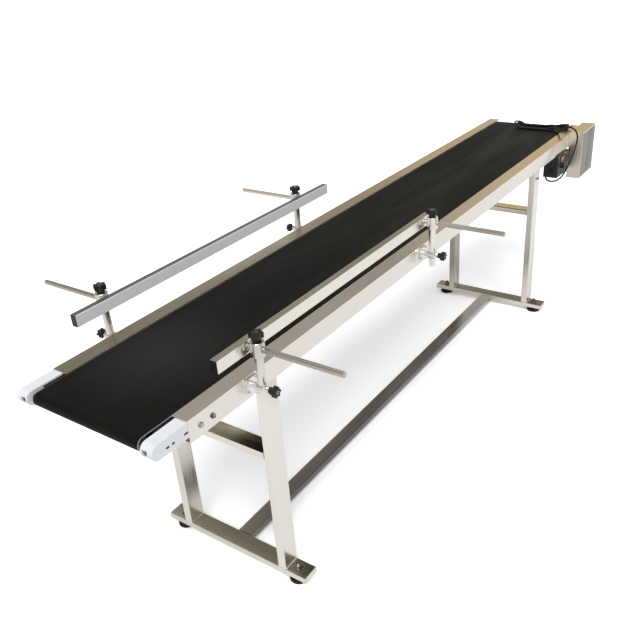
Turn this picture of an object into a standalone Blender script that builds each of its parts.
"""Flat belt conveyor section with adjustable guide rails, a geared drive and a speed controller.

Metres, +Z up. The belt runs along +X, from the tail end to the drive end, and +Y is the left side.
The origin lies on the floor, under the middle of the machine without its power cord.
Builder functions work in conveyor places: x from the tail end of the side channels, z from the top
of the channels. The function place turns such a place into one in the machine's frame.
"""
import math

import bmesh
import bpy
from mathutils import Matrix, Vector

# ---- driving dimensions ----------------------------------------------------------------------
FIT = 0.0003                # gap between pieces that touch
RUNNING = 0.0003            # radial clearance round a shaft, a post or a rod

CHANNEL_LENGTH = 2.370
FRAME_WIDTH = 0.400         # outside to outside of the side channels
CHANNEL_HEIGHT = 0.052
FLANGE_WIDTH = 0.042
BOTTOM_FLANGE_WIDTH = 0.050
LIP_DROP = 0.005
CHANNEL_WALL = 0.002
CHANNEL_TOP_Z = 0.666       # height of the channels' top above the floor

BELT_THICKNESS = 0.002
BELT_EDGE_GAP = 0.002       # between the belt's edge and the flange's lip
BELT_DEPTH = 0.003          # belt's top below the channels' top
ROLLER_RADIUS = 0.0137
ROLLER_END_GAP = 0.002      # how much shorter the roller is than the belt is wide, at each end
TAIL_AXIS_X = -0.073
DRIVE_AXIS_INSET = 0.030    # drive roller's axis before the channels' far end
AXLE_RADIUS = 0.006
JOURNAL_RADIUS = 0.0075

BED_THICKNESS = 0.003
BED_END_GAP = 0.006         # between the bed's end and the belt that turns round the roller
BRACE_SIZE = (0.030, 0.012)

BRACKET_WIDTH = 0.0315
BRACKET_RIM = 0.0012        # how far the bracket stands out beyond the belt round its roller
NOSE_LEAD = 0.005           # middle of the bracket's nose ahead of the roller's axis
BRACKET_TONGUE = 0.090      # how far the bracket reaches into the channel
TONGUE_STEP = 0.004         # between the bracket's top or bottom and its tongue's
TAKE_UP_TRAVEL = 0.010      # length of the slot that the tail axle sits in
TENSION_BOLT_RADIUS = 0.003
BOLT_HEAD_RADIUS = 0.0055
BOLT_HEAD_LENGTH = 0.004

LEG_SIZE = (0.050, 0.025)   # along X and along Y
TUBE_WALL = 0.0015
TUBE_CORNER = 0.003
LEG_INSET_Y = 0.024         # leg's outer face inside the channel's
LEG_TAIL_X = 0.249          # front face of the tail legs
LEG_DRIVE_INSET = 0.450     # front face of the drive legs before the channels' far end
CROSS_BAR_DEPTH = {"tail": 0.266, "drive": 0.230}   # cross bar's top below the channels' top
CROSS_BAR_HEIGHT = 0.020
FOOT_BAR_OVERHANG = 0.035   # past the channel's side
FOOT_BAR_HEIGHT = 0.018
FOOT_BAR_CLEARANCE = 0.018  # under the foot bar
TIE_BAR_SIZE = (0.046, 0.018)
FOOT_RADIUS = 0.025
FOOT_PAD_HEIGHT = 0.012
FOOT_NECK_HEIGHT = 0.003
FOOT_STUD_RADIUS = 0.005
FOOT_STUD_RISE = 0.014      # above the foot bar
FOOT_INSET = 0.038          # foot's axis from the foot bar's end

HOLDER_X = (0.187, 0.950)
POST_STANDOFF = 0.0313      # post's axis from the channel's side
POST_RADIUS = 0.0095
POST_LOWER_DEPTH = 0.056    # post's lower end below the channels' top
ARM_DEPTH = 0.022           # arm's axis below the channels' top
ARM_RADIUS = 0.007
BOSS_EXTRA_RADIUS = 0.0035  # radius of the arm's boss beyond the post's
ARM_TIP = 0.006             # how far the arm runs past its boss
ARM_PLATE_SIZE = 0.034
ARM_PLATE_THICKNESS = 0.004
HEAD_EXTRA_RADIUS = 0.006   # clamp head's radius beyond the post's
HEAD_HEIGHT = 0.034
ROD_RADIUS = 0.0065
ROD_REACH = 0.2078          # outboard of the post's axis
ROD_HEIGHT = {"left": 0.078, "right": 0.072}
RAIL_OFFSET = 0.0015        # rail's middle from the channel's side
RAIL_SIZE = (0.018, 0.030)  # thickness along Y and height
RAIL_WALL = 0.0015
RAIL_SPAN = {"left": (0.0805, 1.0660), "right": (0.0894, 0.9780)}

KNOB_RADII = {"top": 0.018, "side": 0.014}
KNOB_LOBES = 6
KNOB_LOBE_DEPTH = 0.0022
KNOB_THICKNESS = 0.012
KNOB_HUB_RADIUS = 0.008
KNOB_HUB_LENGTH = 0.008

PLATE_THICKNESS = 0.003
GUARD_REACH = (0.148, 0.015)     # before and past the channels' far end
GUARD_TOP_Z = 0.010
GUARD_BOTTOM_Z = -0.178
GUARD_DEPTH = 0.054
GUARD_WALL = 0.0015
SPROCKET_RADIUS = 0.020
SPROCKET_TEETH = 14
SPROCKET_TOOTH_DEPTH = 0.003
SPROCKET_WIDTH = 0.005
SPROCKET_STANDOFF = 0.031   # sprockets' middle from the channel's side
CHAIN_THICKNESS = 0.006
MOTOR_INSET = 0.098         # motor's axis before the channels' far end
MOTOR_DROP = 0.070          # motor's axis below the channels
MOTOR_SHAFT_RADIUS = 0.006
GEARBOX_SIZE = 0.074
GEARBOX_DEPTH = 0.046
MOTOR_RADIUS = 0.036
MOTOR_LENGTH = 0.110

CONTROLLER_INSET = 0.195    # its far side before the channels' far end
CONTROLLER_WIDTH = 0.090
CONTROLLER_HEIGHT = 0.090
CONTROLLER_STANDOFF = 0.006      # its face from the channel's side
CONTROLLER_DEPTH = 0.056
SPEED_KNOB_RADIUS = 0.011
SPEED_KNOB_LENGTH = 0.014
SPEED_KNOB_DROP = 0.050     # below the controller's top
ROCKER_SIZE = (0.026, 0.006, 0.016)
ROCKER_DROP = 0.022
ROCKER_RECESS = 0.003

CORD_DIAMETER = 0.0065
GLAND_LENGTH = 0.026
GLAND_RADII = (0.0075, 0.0045)
GLAND_SETBACK = 0.026       # gland's axis behind the controller's face
GLAND_DROP = 0.064          # gland's axis below the channels
HANK_INSET = 0.080          # hank's middle before the channels' far end
HANK_Y = -0.030
HANK_STRAIGHT = 0.100
HANK_END_RADIUS = 0.0365
HANK_HEIGHT = 0.0135
PLUG_SIZE = (0.026, 0.034, 0.018)
PLUG_INSET = (0.070, 0.050)      # before the channels' far end, and from the channel's side
PLUG_LIFT = 0.0005          # plug's underside above the channel's flange
PLUG_NECK_RADII = (0.0060, 0.0042)
PLUG_NECK_LENGTH = 0.015
PIN_RADIUS = 0.0024
PIN_LENGTH = 0.018
PIN_PITCH = 0.019

# Free stretch of the cord, from the gland to the hank, as places on the conveyor
CORD_ROUTE = (
    (2.0587, -0.1800, -0.1160), (2.0400, -0.1800, -0.1165), (2.0180, -0.1835, -0.1190),
    (1.9990, -0.1940, -0.1230), (1.9900, -0.2110, -0.1250), (1.9970, -0.2290, -0.1230),
    (2.0200, -0.2400, -0.1170), (2.0550, -0.2430, -0.1060), (2.0900, -0.2430, -0.0920),
    (2.1250, -0.2430, -0.0740), (2.1550, -0.2430, -0.0520), (2.1770, -0.2430, -0.0270),
    (2.1890, -0.2420, 0.0000), (2.1920, -0.2320, 0.0230), (2.1910, -0.2120, 0.0350),
    (2.1920, -0.1900, 0.0310), (2.1990, -0.1720, 0.0180), (2.2140, -0.1570, 0.0070),
    (2.2330, -0.1440, 0.0022), (2.2490, -0.1310, 0.0008), (2.2565, -0.1160, 0.0008),
    (2.2570, -0.1018, 0.0008),
)

# ---- sizes that follow -----------------------------------------------------------------------
HALF_WIDTH = FRAME_WIDTH / 2
WEB_INNER_Y = HALF_WIDTH - CHANNEL_WALL
BELT_HALF = HALF_WIDTH - FLANGE_WIDTH - BELT_EDGE_GAP
BELT_INNER_RADIUS = ROLLER_RADIUS + FIT
BELT_OUTER_RADIUS = BELT_INNER_RADIUS + BELT_THICKNESS
AXIS_Z = -BELT_DEPTH - BELT_OUTER_RADIUS
NOSE_RADIUS = BELT_OUTER_RADIUS + BRACKET_RIM
NOSE_X = TAIL_AXIS_X - NOSE_LEAD
NOSE_FRONT_X = NOSE_X - NOSE_RADIUS
LEG_OUTER_Y = HALF_WIDTH - LEG_INSET_Y
LEG_FRONT_X = (LEG_TAIL_X, CHANNEL_LENGTH - LEG_DRIVE_INSET)
FOOT_BAR_HALF = HALF_WIDTH + FOOT_BAR_OVERHANG
POST_Y = HALF_WIDTH + POST_STANDOFF
BOSS_RADIUS = POST_RADIUS + BOSS_EXTRA_RADIUS
ARM_END_Y = POST_Y + BOSS_RADIUS + ARM_TIP
HEAD_RADIUS = POST_RADIUS + HEAD_EXTRA_RADIUS
RAIL_Y = HALF_WIDTH + RAIL_OFFSET
GUARD_SPAN_X = (CHANNEL_LENGTH - GUARD_REACH[0], CHANNEL_LENGTH + GUARD_REACH[1])
SPROCKET_Y = -HALF_WIDTH - SPROCKET_STANDOFF
MOTOR_AXIS = (CHANNEL_LENGTH - MOTOR_INSET, -CHANNEL_HEIGHT - MOTOR_DROP)
CONTROLLER_END_X = CHANNEL_LENGTH - CONTROLLER_INSET
CONTROLLER_SPAN_X = (CONTROLLER_END_X - CONTROLLER_WIDTH, CONTROLLER_END_X)
CONTROLLER_FRONT_Y = -HALF_WIDTH - CONTROLLER_STANDOFF
GLAND_PLACE = (CONTROLLER_FRONT_Y + GLAND_SETBACK, -CHANNEL_HEIGHT - GLAND_DROP)
HANK_CENTRE = (CHANNEL_LENGTH - HANK_INSET, HANK_Y)
PLUG_CENTRE = (CHANNEL_LENGTH - PLUG_INSET[0], PLUG_INSET[1] - HALF_WIDTH)
DRIVE_AXIS_X = CHANNEL_LENGTH - DRIVE_AXIS_INSET
BED_TOP_Z = -BELT_DEPTH - BELT_THICKNESS - FIT
BED_START_X = TAIL_AXIS_X + BELT_OUTER_RADIUS + BED_END_GAP
BED_END_X = DRIVE_AXIS_X - BELT_OUTER_RADIUS - BED_END_GAP
BEARING_HALF = -AXIS_Z - CHANNEL_WALL - FIT
BRACKET_INNER_Y = HALF_WIDTH - BRACKET_WIDTH
MIDDLE_X = (NOSE_FRONT_X + GUARD_SPAN_X[1]) / 2
FOOT_BAR_TOP_Z = FOOT_BAR_CLEARANCE + FOOT_BAR_HEIGHT - CHANNEL_TOP_Z
BELT_TOP_Z = -BELT_DEPTH
PLATE_INNER_Y = HALF_WIDTH + FIT
PLATE_OUTER_Y = PLATE_INNER_Y + PLATE_THICKNESS
HOLE_EXTRA = 0.004          # how far a cutter runs past the faces that it opens

STEEL = ("polished_steel", (0.72, 0.72, 0.73), 0.22, 1.0)
BRUSHED = ("brushed_steel", (0.62, 0.62, 0.63), 0.38, 1.0)
BELT_BLACK = ("black_belt", (0.012, 0.012, 0.013), 0.55, 0.0)
KNOB_BLACK = ("black_knob", (0.012, 0.012, 0.013), 0.40, 0.0)
RUBBER_BLACK = ("black_rubber", (0.010, 0.010, 0.010), 0.75, 0.0)
WHITE_NYLON = ("white_nylon", (0.78, 0.80, 0.82), 0.45, 0.0)
MOTOR_GREY = ("motor_grey", (0.30, 0.31, 0.33), 0.50, 0.2)
CONTROL_BLACK = ("control_black", (0.015, 0.015, 0.017), 0.45, 0.0)
SWITCH_RED = ("switch_red", (0.55, 0.10, 0.10), 0.35, 0.0)
DARK_STEEL = ("dark_steel", (0.20, 0.20, 0.21), 0.45, 1.0)
CORD_BLACK = ("cord_black", (0.012, 0.012, 0.012), 0.50, 0.0)

SIDES = {"left": 1.0, "right": -1.0}


# ---- helpers ---------------------------------------------------------------------------------
def place(x, y, z):
    """A conveyor place as a point in the machine's frame."""
    return Vector((x - MIDDLE_X, y, z + CHANNEL_TOP_Z))


def start_empty():
    """Remove the scene's objects, then make one collection for the parts and one for the cutters."""
    for item in list(bpy.data.objects):
        bpy.data.objects.remove(item, do_unlink=True)
    for title in ("belt_conveyor", "cutters"):
        collection = bpy.data.collections.new(title)
        bpy.context.scene.collection.children.link(collection)


def material_for(finish):
    """The Principled material of a finish, made once and shared."""
    title, colour, roughness, metallic = finish
    material = bpy.data.materials.get(title)
    if material is None:
        material = bpy.data.materials.new(title)
        material.use_nodes = True
        shader = material.node_tree.nodes["Principled BSDF"]
        shader.inputs["Base Color"].default_value = (*colour, 1.0)
        shader.inputs["Roughness"].default_value = roughness
        shader.inputs["Metallic"].default_value = metallic
    return material


def add_object(name, data, location, finish):
    """Link a new object with its own copy of the finish."""
    item = bpy.data.objects.new(name, data)
    item.location = location
    if finish is None:
        bpy.data.collections["cutters"].objects.link(item)
        item.hide_render = True
        item.display_type = 'WIRE'
        return item
    bpy.data.collections["belt_conveyor"].objects.link(item)
    material = material_for(finish).copy()
    material.name = name + "_finish"
    data.materials.append(material)
    return item


def add_box(name, low, high, finish, origin=None):
    """A box between two conveyor places, with its origin at a third one or in its middle."""
    low, high = Vector(low), Vector(high)
    centre = (low + high) / 2
    origin = centre if origin is None else Vector(origin)
    shape = bmesh.new()
    bmesh.ops.create_cube(shape, size=1.0)
    bmesh.ops.scale(shape, vec=high - low, verts=shape.verts)
    bmesh.ops.translate(shape, vec=centre - origin, verts=shape.verts)
    mesh = bpy.data.meshes.new(name)
    shape.to_mesh(mesh)
    shape.free()
    return add_object(name, mesh, place(*origin), finish)


def add_cylinder(name, start, end, radius, finish, sides=24, end_radius=None):
    """A cylinder or cone between two conveyor places, with its origin at the first one."""
    start, end = Vector(start), Vector(end)
    along = end - start
    shape = bmesh.new()
    bmesh.ops.create_cone(
        shape, cap_ends=True, segments=sides, radius1=radius,
        radius2=radius if end_radius is None else end_radius, depth=along.length,
    )
    bmesh.ops.translate(shape, vec=(0, 0, along.length / 2), verts=shape.verts)
    turn = Vector((0, 0, 1)).rotation_difference(along).to_matrix()
    bmesh.ops.rotate(shape, cent=(0, 0, 0), matrix=turn, verts=shape.verts)
    mesh = bpy.data.meshes.new(name)
    shape.to_mesh(mesh)
    shape.free()
    item = add_object(name, mesh, place(*start), finish)
    smooth(item)
    return item


def smooth(item, degrees=35):
    """Shade a round piece smooth, and keep its edges sharp."""
    item.data.shade_smooth()
    item.data.set_sharp_from_angle(angle=math.radians(degrees))


def add_outline(name, loops, thickness, facing, middle, finish):
    """A flat outline with holes, thick along X, Y or Z, with its origin at a conveyor place."""
    curve = bpy.data.curves.new(name, 'CURVE')
    curve.dimensions = '2D'
    curve.fill_mode = 'BOTH'
    curve.extrude = thickness / 2
    for loop in loops:
        spline = curve.splines.new('POLY')
        spline.points.add(len(loop) - 1)
        for point, (u, v) in zip(spline.points, loop):
            point.co = (u, v, 0.0, 1.0)
        spline.use_cyclic_u = True
    item = add_object(name, curve, place(*middle), finish)
    quarter = math.pi / 2
    item.rotation_euler = {"X": (quarter, 0, quarter), "Y": (quarter, 0, 0), "Z": (0, 0, 0)}[facing]
    return item


def as_mesh(item):
    """Turn a curve object into a mesh object with welded caps."""
    bpy.context.view_layer.update()
    name = item.name
    finish = item.data.materials[0] if item.data.materials else None
    matrix = item.matrix_world.copy()
    homes = list(item.users_collection)
    mesh = bpy.data.meshes.new_from_object(item.evaluated_get(bpy.context.evaluated_depsgraph_get()))
    shape = bmesh.new()
    shape.from_mesh(mesh)
    bmesh.ops.remove_doubles(shape, verts=shape.verts, dist=0.00001)
    shape.to_mesh(mesh)
    shape.free()
    bpy.data.objects.remove(item, do_unlink=True)
    result = bpy.data.objects.new(name, mesh)
    result.matrix_world = matrix
    for home in homes:
        home.objects.link(result)
    if finish is None:
        result.hide_render = True
        result.display_type = 'WIRE'
    elif not mesh.materials:
        mesh.materials.append(finish)
    result.name = name
    return result


def combine(item, tool, operation):
    """Join a tool to a piece, or cut it out, with an exact Boolean."""
    modifier = item.modifiers.new(operation.lower() + "_" + tool.name, 'BOOLEAN')
    modifier.operation = operation
    modifier.solver = 'EXACT'
    modifier.object = tool


def circle(radius, steps, centre=(0.0, 0.0), start=0.0, sweep=2 * math.pi):
    """Points on a full circle, or on an arc with both its ends."""
    whole = abs(sweep - 2 * math.pi) < 1e-9
    count = steps if whole else steps + 1
    points = []
    for index in range(count):
        angle = start + sweep * index / steps
        points.append((centre[0] + radius * math.cos(angle), centre[1] + radius * math.sin(angle)))
    return points


def rounded_rectangle(width, height, radius, steps=3):
    """The outline of a rectangle with round corners, about its middle."""
    points = []
    corners = ((1, 1), (-1, 1), (-1, -1), (1, -1))
    for quarter, (side, rise) in enumerate(corners):
        centre = (side * (width / 2 - radius), rise * (height / 2 - radius))
        points += circle(radius, steps, centre, quarter * math.pi / 2, math.pi / 2)
    return points


def loop_round(first, second, radius, steps=12):
    """The outline of a band pulled round two equal circles."""
    angle = math.atan2(second[1] - first[1], second[0] - first[0])
    quarter = math.pi / 2
    points = circle(radius, steps, second, angle - quarter, math.pi)
    points += circle(radius, steps, first, angle + quarter, math.pi)
    return points


def star(radius, depth, lobes, steps_per_lobe):
    """A wavy outline: a star knob's grip, or a small sprocket's teeth."""
    points = []
    steps = lobes * steps_per_lobe
    for index in range(steps):
        angle = 2 * math.pi * index / steps
        reach = radius - depth * (1 - math.cos(lobes * angle)) / 2
        points.append((reach * math.cos(angle), reach * math.sin(angle)))
    return points


def add_turned(name, profile, steps, origin, direction, finish, closed=False):
    """A turned piece: the profile holds radius and place along the axis, from far to near."""
    mesh = bpy.data.meshes.new(name)
    points = [(radius, 0.0, along) for radius, along in profile]
    edges = [(index, index + 1) for index in range(len(points) - 1)]
    if closed:
        edges.append((len(points) - 1, 0))
    mesh.from_pydata(points, edges, [])
    item = add_object(name, mesh, place(*origin), finish)
    item.rotation_mode = 'QUATERNION'
    item.rotation_quaternion = Vector((0, 0, 1)).rotation_difference(Vector(direction))
    screw = item.modifiers.new("turn", 'SCREW')
    screw.steps = steps
    screw.render_steps = steps
    screw.use_merge_vertices = True
    screw.merge_threshold = 0.00001
    screw.use_smooth_shade = True
    return item


def add_tube(name, size, corner, wall, facing, middle, length, finish):
    """A rectangular tube with open ends, along X, Y or Z."""
    outer = rounded_rectangle(size[0], size[1], corner)
    inner = rounded_rectangle(size[0] - 2 * wall, size[1] - 2 * wall, corner - wall)
    return add_outline(name, [outer, inner], length, facing, middle, finish)


# ---- belt, rollers and bed -------------------------------------------------------------------
def add_channels():
    """The two folded side channels, with holes where the drive roller's journals pass."""
    top_wall = FLANGE_WIDTH - CHANNEL_WALL
    for side, sign in SIDES.items():
        half = [
            (0.0, 0.0), (0.0, -CHANNEL_HEIGHT), (-BOTTOM_FLANGE_WIDTH, -CHANNEL_HEIGHT),
            (-BOTTOM_FLANGE_WIDTH, -CHANNEL_HEIGHT + CHANNEL_WALL),
            (-CHANNEL_WALL, -CHANNEL_HEIGHT + CHANNEL_WALL), (-CHANNEL_WALL, -CHANNEL_WALL),
            (-top_wall, -CHANNEL_WALL), (-top_wall, -LIP_DROP), (-FLANGE_WIDTH, -LIP_DROP),
            (-FLANGE_WIDTH, 0.0),
        ]
        profile = [(sign * u, v) for u, v in half]
        middle = (CHANNEL_LENGTH / 2, sign * HALF_WIDTH, 0.0)
        name = "channel_" + side
        channel = as_mesh(add_outline(name, [profile], CHANNEL_LENGTH, "X", middle, STEEL))
        hole = add_cylinder(
            name + "_hole", (DRIVE_AXIS_X, sign * (WEB_INNER_Y - HOLE_EXTRA), AXIS_Z),
            (DRIVE_AXIS_X, sign * (HALF_WIDTH + HOLE_EXTRA), AXIS_Z), JOURNAL_RADIUS + 0.003, None,
        )
        combine(channel, hole, 'DIFFERENCE')


def add_belt():
    """The endless belt, round both rollers."""
    ends = ((TAIL_AXIS_X, AXIS_Z), (DRIVE_AXIS_X, AXIS_Z))
    outer = loop_round(*ends, BELT_OUTER_RADIUS)
    inner = loop_round(*ends, BELT_INNER_RADIUS)
    add_outline("belt", [outer, inner], 2 * BELT_HALF, "Y", (0.0, 0.0, 0.0), BELT_BLACK)


def add_bed():
    """The slider bed under the belt's upper run, narrower at its ends, and the brace under it."""
    wide = WEB_INNER_Y - FIT
    narrow = BRACKET_INNER_Y - 2 * FIT
    first = BRACKET_TONGUE + 0.004
    last = DRIVE_AXIS_X - BEARING_HALF - 0.006
    side = [(BED_START_X, narrow), (first, narrow), (first, wide), (last, wide), (last, narrow)]
    side.append((BED_END_X, narrow))
    outline = side + [(u, -v) for u, v in reversed(side)]
    middle = (0.0, 0.0, BED_TOP_Z - BED_THICKNESS / 2)
    add_outline("slider_bed", [outline], BED_THICKNESS, "Z", middle, BRUSHED)
    top = BED_TOP_Z - BED_THICKNESS - FIT
    centre_x = CHANNEL_LENGTH / 2
    add_box(
        "bed_brace", (centre_x - BRACE_SIZE[0] / 2, -wide, top - BRACE_SIZE[1]),
        (centre_x + BRACE_SIZE[0] / 2, wide, top), BRUSHED,
    )


def add_tail_end():
    """Both tail brackets with their tension bolts, the axle, and the roller that turns on it."""
    for side, sign in SIDES.items():
        add_tail_bracket(side, sign)
        add_tension_bolt(side, sign)
    reach = BRACKET_INNER_Y + 0.020
    add_cylinder(
        "tail_axle", (TAIL_AXIS_X, -reach, AXIS_Z), (TAIL_AXIS_X, reach, AXIS_Z), AXLE_RADIUS, STEEL,
    )
    half = BELT_HALF - ROLLER_END_GAP
    bore = AXLE_RADIUS + RUNNING
    profile = [(bore, half), (ROLLER_RADIUS - 0.001, half), (ROLLER_RADIUS, half - 0.001)]
    profile += [(ROLLER_RADIUS, 0.001 - half), (ROLLER_RADIUS - 0.001, -half), (bore, -half)]
    origin = (TAIL_AXIS_X, 0.0, AXIS_Z)
    add_turned("tail_roller", profile, 32, origin, (0, 1, 0), STEEL, closed=True)


def add_tail_bracket(side, sign):
    """A nose that holds the axle, and a tongue that is bolted inside the channel."""
    name = "tail_bracket_" + side
    nose = circle(NOSE_RADIUS, 14, (NOSE_X, AXIS_Z), math.pi / 2, math.pi)
    nose += [(-FIT, AXIS_Z - NOSE_RADIUS), (-FIT, AXIS_Z + NOSE_RADIUS)]
    outer = HALF_WIDTH - FIT
    middle = (0.0, sign * (BRACKET_INNER_Y + outer) / 2, 0.0)
    bracket = as_mesh(add_outline(name, [nose], outer - BRACKET_INNER_Y, "Y", middle, WHITE_NYLON))
    tongue_half = NOSE_RADIUS - TONGUE_STEP
    inner_face = sign * BRACKET_INNER_Y
    web_face = sign * (WEB_INNER_Y - FIT)
    tongue = add_box(
        name + "_tongue", (-0.006, min(inner_face, web_face), AXIS_Z - tongue_half),
        (BRACKET_TONGUE, max(inner_face, web_face), AXIS_Z + tongue_half), None,
    )
    combine(bracket, tongue, 'UNION')
    slot_radius = AXLE_RADIUS + RUNNING
    slot_end = TAIL_AXIS_X + TAKE_UP_TRAVEL
    slot = loop_round((TAIL_AXIS_X - 0.001, AXIS_Z), (slot_end, AXIS_Z), slot_radius)
    slot_depth = 0.020 + FIT
    slot_middle = (0.0, sign * (BRACKET_INNER_Y + (slot_depth - HOLE_EXTRA) / 2), 0.0)
    cutter = as_mesh(
        add_outline(name + "_slot", [slot], slot_depth + HOLE_EXTRA, "Y", slot_middle, None)
    )
    combine(bracket, cutter, 'DIFFERENCE')
    bolt_y = sign * (BRACKET_INNER_Y + BRACKET_WIDTH * 0.36)
    front = NOSE_FRONT_X
    bore = add_cylinder(
        name + "_bolt_bore", (front - HOLE_EXTRA, bolt_y, AXIS_Z), (TAIL_AXIS_X, bolt_y, AXIS_Z),
        TENSION_BOLT_RADIUS + RUNNING, None, sides=16,
    )
    combine(bracket, bore, 'DIFFERENCE')
    notch_half = BOLT_HEAD_RADIUS + 0.0015
    notch = add_box(
        name + "_notch", (front - HOLE_EXTRA, bolt_y - notch_half, AXIS_Z - NOSE_RADIUS),
        (front + BOLT_HEAD_LENGTH + 0.003, bolt_y + notch_half, AXIS_Z + notch_half), None,
    )
    combine(bracket, notch, 'DIFFERENCE')


def add_tension_bolt(side, sign):
    """The hexagon bolt in the bracket's notch, which pushes the axle along its slot."""
    bolt_y = sign * (BRACKET_INNER_Y + BRACKET_WIDTH * 0.36)
    head_front = NOSE_FRONT_X + 0.003 - FIT
    head_back = head_front + BOLT_HEAD_LENGTH
    tip = TAIL_AXIS_X - AXLE_RADIUS - FIT
    profile = [(0.0, tip), (TENSION_BOLT_RADIUS, tip), (TENSION_BOLT_RADIUS, head_back)]
    profile += [(BOLT_HEAD_RADIUS, head_back), (BOLT_HEAD_RADIUS, head_front), (0.0, head_front)]
    local = [(radius, along - TAIL_AXIS_X) for radius, along in profile]
    origin = (TAIL_AXIS_X, bolt_y, AXIS_Z)
    add_turned("tension_bolt_" + side, local, 12, origin, (1, 0, 0), STEEL)


# ---- drive end -------------------------------------------------------------------------------
def add_drive_roller():
    """The drive roller with its journals and the sprocket that is keyed to it."""
    half = BELT_HALF - ROLLER_END_GAP
    left_end = WEB_INNER_Y - 0.004
    right_end = -SPROCKET_Y + 0.008
    profile = [
        (0.0, left_end), (JOURNAL_RADIUS, left_end), (JOURNAL_RADIUS, half),
        (ROLLER_RADIUS - 0.001, half), (ROLLER_RADIUS, half - 0.001), (ROLLER_RADIUS, 0.001 - half),
        (ROLLER_RADIUS - 0.001, -half), (JOURNAL_RADIUS, -half), (JOURNAL_RADIUS, -right_end),
        (0.0, -right_end),
    ]
    origin = (DRIVE_AXIS_X, 0.0, AXIS_Z)
    roller = add_turned("drive_roller", profile, 32, origin, (0, 1, 0), STEEL)
    combine(roller, sprocket_blank("drive_roller_sprocket", DRIVE_AXIS_X, AXIS_Z), 'UNION')
    for side, sign in SIDES.items():
        add_bearing(side, sign)


def sprocket_blank(name, x, z):
    """A toothed disc that is joined to its shaft."""
    teeth = star(SPROCKET_RADIUS, SPROCKET_TOOTH_DEPTH, SPROCKET_TEETH, 4)
    return as_mesh(add_outline(name, [teeth], SPROCKET_WIDTH, "Y", (x, SPROCKET_Y, z), None))


def add_bearing(side, sign):
    """A square bearing housing inside the channel, round the drive roller's journal."""
    name = "drive_bearing_" + side
    inner_face = sign * (BRACKET_INNER_Y + 0.002)
    outer_face = sign * (WEB_INNER_Y - FIT)
    bearing = add_box(
        name, (DRIVE_AXIS_X - BEARING_HALF, min(inner_face, outer_face), AXIS_Z - BEARING_HALF),
        (DRIVE_AXIS_X + BEARING_HALF, max(inner_face, outer_face), AXIS_Z + BEARING_HALF), DARK_STEEL,
    )
    bore = add_cylinder(
        name + "_bore", (DRIVE_AXIS_X, inner_face - sign * HOLE_EXTRA, AXIS_Z),
        (DRIVE_AXIS_X, outer_face + sign * HOLE_EXTRA, AXIS_Z), JOURNAL_RADIUS + RUNNING, None, sides=32,
    )
    combine(bearing, bore, 'DIFFERENCE')


def add_drive():
    """The drive plate, the geared motor, its sprocket, the chain and the guard."""
    span_inset = GUARD_WALL + 2 * FIT
    bottom = GUARD_BOTTOM_Z + span_inset
    plate = add_box(
        "drive_plate", (GUARD_SPAN_X[0] + span_inset, -PLATE_OUTER_Y, bottom),
        (GUARD_SPAN_X[1] - span_inset, -PLATE_INNER_Y, -CHANNEL_WALL), BRUSHED,
    )
    for title, x, z, radius in (
        ("journal", DRIVE_AXIS_X, AXIS_Z, JOURNAL_RADIUS + 0.003),
        ("motor", MOTOR_AXIS[0], MOTOR_AXIS[1], MOTOR_SHAFT_RADIUS + 0.003),
    ):
        hole = add_cylinder(
            "drive_plate_" + title + "_hole", (x, -PLATE_INNER_Y + HOLE_EXTRA, z),
            (x, -PLATE_OUTER_Y - HOLE_EXTRA, z), radius, None,
        )
        combine(plate, hole, 'DIFFERENCE')
    add_geared_motor()
    ends = ((MOTOR_AXIS[0], MOTOR_AXIS[1]), (DRIVE_AXIS_X, AXIS_Z))
    inner = loop_round(*ends, SPROCKET_RADIUS + FIT)
    outer = loop_round(*ends, SPROCKET_RADIUS + FIT + CHAIN_THICKNESS)
    middle = (0.0, SPROCKET_Y, 0.0)
    add_outline("drive_chain", [outer, inner], SPROCKET_WIDTH, "Y", middle, DARK_STEEL)
    add_guard()


def add_geared_motor():
    """Gearbox and motor as one unit, and the output shaft with its sprocket."""
    x, z = MOTOR_AXIS
    half = GEARBOX_SIZE / 2
    front = -PLATE_INNER_Y + FIT
    back = front + GEARBOX_DEPTH
    motor = add_box("geared_motor", (x - half, front, z - half), (x + half, back, z + half), MOTOR_GREY)
    can = add_cylinder(
        "geared_motor_can", (x, back - 0.004, z), (x, back + MOTOR_LENGTH, z), MOTOR_RADIUS, None, sides=32,
    )
    combine(motor, can, 'UNION')
    socket_end = front + 0.020
    socket = add_cylinder(
        "geared_motor_socket", (x, front - HOLE_EXTRA, z), (x, socket_end, z),
        MOTOR_SHAFT_RADIUS + RUNNING, None,
    )
    combine(motor, socket, 'DIFFERENCE')
    shaft = add_cylinder(
        "motor_sprocket", (x, socket_end - FIT, z), (x, SPROCKET_Y - 0.008, z), MOTOR_SHAFT_RADIUS, STEEL,
    )
    combine(shaft, sprocket_blank("motor_sprocket_disc", x, z), 'UNION')


def add_guard():
    """The box-shaped guard over the chain, open towards the drive plate."""
    outer_y = -PLATE_INNER_Y - GUARD_DEPTH
    guard = add_box(
        "chain_guard", (GUARD_SPAN_X[0], outer_y, GUARD_BOTTOM_Z),
        (GUARD_SPAN_X[1], -PLATE_INNER_Y, GUARD_TOP_Z), BRUSHED,
    )
    hollow = add_box(
        "chain_guard_hollow",
        (GUARD_SPAN_X[0] + GUARD_WALL, outer_y + GUARD_WALL, GUARD_BOTTOM_Z + GUARD_WALL),
        (GUARD_SPAN_X[1] - GUARD_WALL, HOLE_EXTRA - PLATE_INNER_Y, GUARD_TOP_Z - GUARD_WALL), None,
    )
    combine(guard, hollow, 'DIFFERENCE')


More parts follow.
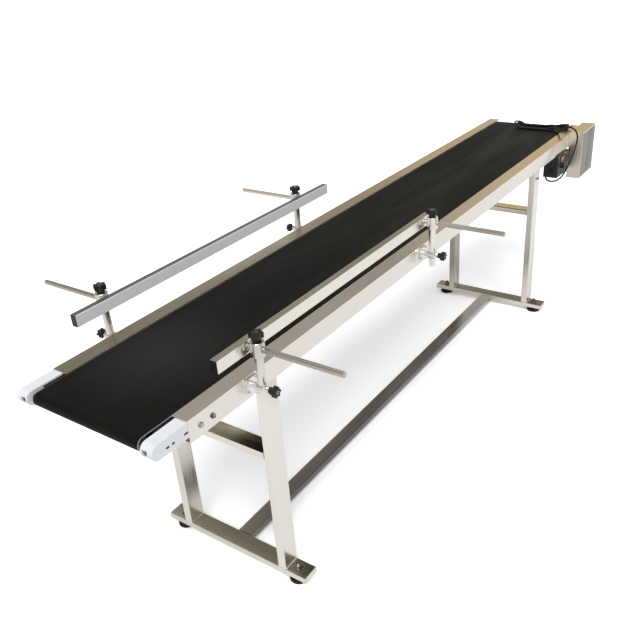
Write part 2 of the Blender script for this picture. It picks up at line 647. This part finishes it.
def add_controller():
    """The speed controller under the right channel, with its knob and its rocker switch."""
    top = -CHANNEL_HEIGHT - FIT
    back = CONTROLLER_FRONT_Y + CONTROLLER_DEPTH
    centre_x = sum(CONTROLLER_SPAN_X) / 2
    box = add_box(
        "speed_controller", (CONTROLLER_SPAN_X[0], CONTROLLER_FRONT_Y, top - CONTROLLER_HEIGHT),
        (CONTROLLER_SPAN_X[1], back, top), CONTROL_BLACK,
    )
    gland = add_cylinder(
        "speed_controller_gland", (CONTROLLER_SPAN_X[0] + 0.002, *GLAND_PLACE),
        (CONTROLLER_SPAN_X[0] - GLAND_LENGTH, *GLAND_PLACE), GLAND_RADII[0], None,
        sides=16, end_radius=GLAND_RADII[1],
    )
    combine(box, gland, 'UNION')
    knob_z = top - SPEED_KNOB_DROP
    front = CONTROLLER_FRONT_Y - FIT
    profile = [(0.0, SPEED_KNOB_LENGTH), (SPEED_KNOB_RADIUS * 0.86, SPEED_KNOB_LENGTH)]
    profile += [(SPEED_KNOB_RADIUS, 0.0), (0.0, 0.0)]
    add_turned("speed_knob", profile, 20, (centre_x, front, knob_z), (0, -1, 0), CONTROL_BLACK)
    add_rocker(box, centre_x, top - ROCKER_DROP)


def add_rocker(box, x, z):
    """The rocker switch, set into a recess of the controller's face."""
    width, height, tall = ROCKER_SIZE
    pivot_y = CONTROLLER_FRONT_Y - 0.001
    recess = add_box(
        "speed_controller_recess",
        (x - width / 2 - 0.001, CONTROLLER_FRONT_Y - HOLE_EXTRA, z - tall / 2 - 0.001),
        (x + width / 2 + 0.001, CONTROLLER_FRONT_Y + ROCKER_RECESS + 0.002, z + tall / 2 + 0.001), None,
    )
    combine(box, recess, 'DIFFERENCE')
    add_box(
        "rocker_switch", (x - width / 2, pivot_y - height / 2, z - tall / 2),
        (x + width / 2, pivot_y + height / 2, z + tall / 2), SWITCH_RED, origin=(x, pivot_y, z),
    )


# ---- legs ------------------------------------------------------------------------------------
def add_leg_frames():
    """Two leg frames of rectangular tube, and the tie bar between their foot bars."""
    for title, front_x in zip(("tail", "drive"), LEG_FRONT_X):
        add_leg_frame(title, front_x + LEG_SIZE[0] / 2)
    start = LEG_FRONT_X[0] + LEG_SIZE[0] + FIT
    end = LEG_FRONT_X[1] - FIT
    middle = ((start + end) / 2, 0.0, FOOT_BAR_TOP_Z - FOOT_BAR_HEIGHT / 2)
    add_tube("tie_bar", TIE_BAR_SIZE, TUBE_CORNER, TUBE_WALL, "X", middle, end - start, STEEL)


def add_leg_frame(title, x):
    """Two legs, a cross bar, a foot bar and two levelling feet."""
    top = -CHANNEL_HEIGHT - FIT
    bottom = FOOT_BAR_TOP_Z + FIT
    leg_y = LEG_OUTER_Y - LEG_SIZE[1] / 2
    for side, sign in SIDES.items():
        middle = (x, sign * leg_y, (top + bottom) / 2)
        name = "leg_" + title + "_" + side
        add_tube(name, LEG_SIZE, TUBE_CORNER, TUBE_WALL, "Z", middle, top - bottom, STEEL)
    span = 2 * (LEG_OUTER_Y - LEG_SIZE[1] - FIT)
    bar_middle = (x, 0.0, -CROSS_BAR_DEPTH[title] - CROSS_BAR_HEIGHT / 2)
    bar_size = (LEG_SIZE[0], CROSS_BAR_HEIGHT)
    add_tube("cross_bar_" + title, bar_size, TUBE_CORNER, TUBE_WALL, "Y", bar_middle, span, STEEL)
    foot_bar = add_foot_bar("foot_bar_" + title, x)
    for side, sign in SIDES.items():
        add_foot(foot_bar, title + "_" + side, x, sign * (FOOT_BAR_HALF - FOOT_INSET))


def add_foot_bar(name, x):
    """The tube that the legs stand on, hollowed by a cutter because its walls are drilled."""
    middle = (x, 0.0, FOOT_BAR_TOP_Z - FOOT_BAR_HEIGHT / 2)
    outer = rounded_rectangle(LEG_SIZE[0], FOOT_BAR_HEIGHT, TUBE_CORNER)
    bar = as_mesh(add_outline(name, [outer], 2 * FOOT_BAR_HALF, "Y", middle, STEEL))
    width = LEG_SIZE[0] - 2 * TUBE_WALL
    height = FOOT_BAR_HEIGHT - 2 * TUBE_WALL
    inner = rounded_rectangle(width, height, TUBE_CORNER - TUBE_WALL)
    depth = 2 * (FOOT_BAR_HALF + HOLE_EXTRA)
    combine(bar, as_mesh(add_outline(name + "_hollow", [inner], depth, "Y", middle, None)), 'DIFFERENCE')
    return bar


def add_foot(foot_bar, title, x, y):
    """A levelling foot: rubber pad and stud, through a hole in the foot bar."""
    low = FOOT_BAR_TOP_Z - FOOT_BAR_HEIGHT - HOLE_EXTRA
    hole = add_cylinder(
        "foot_hole_" + title, (x, y, low), (x, y, FOOT_BAR_TOP_Z + HOLE_EXTRA),
        FOOT_STUD_RADIUS + RUNNING, None, sides=16,
    )
    combine(foot_bar, hole, 'DIFFERENCE')
    stud_top = FOOT_BAR_CLEARANCE + FOOT_BAR_HEIGHT + FOOT_STUD_RISE
    neck = FOOT_PAD_HEIGHT + FOOT_NECK_HEIGHT
    profile = [
        (0.0, stud_top), (FOOT_STUD_RADIUS, stud_top), (FOOT_STUD_RADIUS, neck), (0.010, neck),
        (0.014, FOOT_PAD_HEIGHT), (FOOT_RADIUS - 0.002, FOOT_PAD_HEIGHT),
        (FOOT_RADIUS, FOOT_PAD_HEIGHT - 0.003), (FOOT_RADIUS, 0.0), (0.0, 0.0),
    ]
    add_turned("levelling_foot_" + title, profile, 16, (x, y, -CHANNEL_TOP_Z), (0, 0, 1), RUBBER_BLACK)


# ---- guide rails -----------------------------------------------------------------------------
def add_guide(side, sign):
    """One guide rail, on two rods that slide in the heads of two posts."""
    rod_z = ROD_HEIGHT[side]
    start, end = RAIL_SPAN[side]
    middle = ((start + end) / 2, sign * RAIL_Y, rod_z)
    rail_name = "guide_rail_" + side
    add_tube(rail_name, RAIL_SIZE, 0.002, RAIL_WALL, "X", middle, end - start, STEEL)
    rail_back = RAIL_Y + RAIL_SIZE[0] / 2 + FIT
    for number, x in enumerate(HOLDER_X, 1):
        title = side + "_" + str(number)
        add_cylinder(
            "guide_rod_" + title, (x, sign * rail_back, rod_z),
            (x, sign * (POST_Y + ROD_REACH), rod_z), ROD_RADIUS, STEEL, sides=16,
        )
        add_post(title, sign, x, rod_z)
        add_arm(title, sign, x)
        head_top = (x, sign * POST_Y, rod_z + HEAD_HEIGHT / 2 + FIT)
        add_star_knob("top_knob_" + title, head_top, (0, 0, 1), KNOB_RADII["top"])
        arm_end = (x, sign * (ARM_END_Y + FIT), -ARM_DEPTH)
        add_star_knob("side_knob_" + title, arm_end, (0, sign, 0), KNOB_RADII["side"])


def add_post(title, sign, x, rod_z):
    """A round post with its clamp head, cross-bored for the rail's rod."""
    y = sign * POST_Y
    name = "guide_post_" + title
    low = -POST_LOWER_DEPTH
    head_low = rod_z - HEAD_HEIGHT / 2
    head_high = rod_z + HEAD_HEIGHT / 2
    profile = [
        (0.0, head_high), (HEAD_RADIUS - 0.001, head_high), (HEAD_RADIUS, head_high - 0.001),
        (HEAD_RADIUS, head_low + 0.001), (HEAD_RADIUS - 0.001, head_low), (POST_RADIUS, head_low),
        (POST_RADIUS, low + 0.001), (POST_RADIUS - 0.001, low), (0.0, low),
    ]
    local = [(radius, along - rod_z) for radius, along in profile]
    post = add_turned(name, local, 24, (x, y, rod_z), (0, 0, 1), STEEL)
    half = HEAD_RADIUS + HOLE_EXTRA
    bore = add_cylinder(
        name + "_bore", (x, y - half, rod_z), (x, y + half, rod_z), ROD_RADIUS + RUNNING, None, sides=16,
    )
    combine(post, bore, 'DIFFERENCE')


def add_arm(title, sign, x):
    """A round arm on the channel's side: a square plate, and a boss that is bored for the post."""
    name = "guide_arm_" + title
    start = HALF_WIDTH + FIT
    profile = [
        (0.0, ARM_END_Y), (ARM_RADIUS, ARM_END_Y), (ARM_RADIUS, POST_Y + BOSS_RADIUS),
        (BOSS_RADIUS, POST_Y + BOSS_RADIUS * 0.7), (BOSS_RADIUS, POST_Y - BOSS_RADIUS * 0.7),
        (ARM_RADIUS, POST_Y - BOSS_RADIUS), (ARM_RADIUS, start), (0.0, start),
    ]
    origin = (x, 0.0, -ARM_DEPTH)
    arm = add_turned(name, profile, 24, origin, (0, sign, 0), STEEL)
    half = ARM_PLATE_SIZE / 2
    near, far = sorted((sign * start, sign * (start + ARM_PLATE_THICKNESS)))
    plate_z = -ARM_DEPTH
    plate = add_box(name + "_plate", (x - half, near, plate_z - half), (x + half, far, plate_z + half), None)
    combine(arm, plate, 'UNION')
    depth = BOSS_RADIUS + HOLE_EXTRA
    bore = add_cylinder(
        name + "_bore", (x, sign * POST_Y, -ARM_DEPTH - depth), (x, sign * POST_Y, -ARM_DEPTH + depth),
        POST_RADIUS + RUNNING, None, sides=24,
    )
    combine(arm, bore, 'DIFFERENCE')


def add_star_knob(name, seat, direction, radius):
    """A star knob on its hub, standing on its seat along a direction."""
    direction = Vector(direction)
    seat = Vector(seat)
    hub_end = seat + direction * (KNOB_HUB_LENGTH + 0.002)
    knob = add_cylinder(name, seat, hub_end, KNOB_HUB_RADIUS, KNOB_BLACK, sides=16)
    grip_middle = seat + direction * (KNOB_HUB_LENGTH + KNOB_THICKNESS / 2)
    facing = "Z" if abs(direction.z) > 0.5 else "Y"
    lobes = star(radius, KNOB_LOBE_DEPTH, KNOB_LOBES, 6)
    grip = as_mesh(add_outline(name + "_grip", [lobes], KNOB_THICKNESS, facing, grip_middle, None))
    combine(knob, grip, 'UNION')


# ---- power cord ------------------------------------------------------------------------------
def smooth_route(route, steps):
    """Points on a Catmull-Rom curve through the route's own points."""
    ends = [route[0] * 2 - route[1], *route, route[-1] * 2 - route[-2]]
    points = []
    for index in range(1, len(ends) - 2):
        before, first, second, after = ends[index - 1:index + 3]
        for step in range(steps):
            t = step / steps
            points.append(0.5 * (
                2 * first + (second - before) * t
                + (2 * before - 5 * first + 4 * second - after) * t ** 2
                + (3 * first - before - 3 * second + after) * t ** 3
            ))
    points.append(route[-1])
    return points


def add_cord():
    """The free stretch of the cord, the hank that lies on the belt, and the plug beside it."""
    route = [place(*point) for point in CORD_ROUTE]
    curve = bpy.data.curves.new("cord", 'CURVE')
    curve.dimensions = '3D'
    curve.bevel_depth = CORD_DIAMETER / 2
    curve.bevel_resolution = 2
    curve.use_fill_caps = True
    points = smooth_route(route, 2)
    spline = curve.splines.new('POLY')
    spline.points.add(len(points) - 1)
    for point, where in zip(spline.points, points):
        point.co = (*where, 1.0)
    add_object("cord", curve, (0, 0, 0), CORD_BLACK)
    half = HANK_STRAIGHT / 2
    x, y = HANK_CENTRE
    bottom = BELT_TOP_Z + FIT
    outline = loop_round((0.0, -half), (0.0, half), HANK_END_RADIUS, 10)
    middle = (x, y, bottom + HANK_HEIGHT / 2)
    add_outline("cord_hank", [outline], HANK_HEIGHT, "Z", middle, CORD_BLACK)
    add_plug()


def add_plug():
    """A plain two-pin plug with its tapered neck, lying across the channel's flange."""
    x, y = PLUG_CENTRE
    width, length, height = PLUG_SIZE
    front, back = y - length / 2, y + length / 2
    middle_z = PLUG_LIFT + height / 2
    plug = add_box(
        "plug", (x - width / 2, front, PLUG_LIFT), (x + width / 2, back, PLUG_LIFT + height), CORD_BLACK,
    )
    neck = add_cylinder(
        "plug_neck", (x, back - 0.004, middle_z), (x, back + PLUG_NECK_LENGTH, middle_z),
        PLUG_NECK_RADII[0], None, sides=12, end_radius=PLUG_NECK_RADII[1],
    )
    combine(plug, neck, 'UNION')
    for side, title in ((-1, "first"), (1, "second")):
        pin_x = x + side * PIN_PITCH / 2
        pin = add_cylinder(
            "plug_pin_" + title, (pin_x, front + 0.004, middle_z), (pin_x, front - PIN_LENGTH, middle_z),
            PIN_RADIUS, None, sides=12,
        )
        combine(plug, pin, 'UNION')


def main():
    start_empty()
    add_channels()
    add_belt()
    add_bed()
    add_tail_end()
    add_drive_roller()
    add_drive()
    add_controller()
    add_leg_frames()
    for side, sign in SIDES.items():
        add_guide(side, sign)
    add_cord()


main()
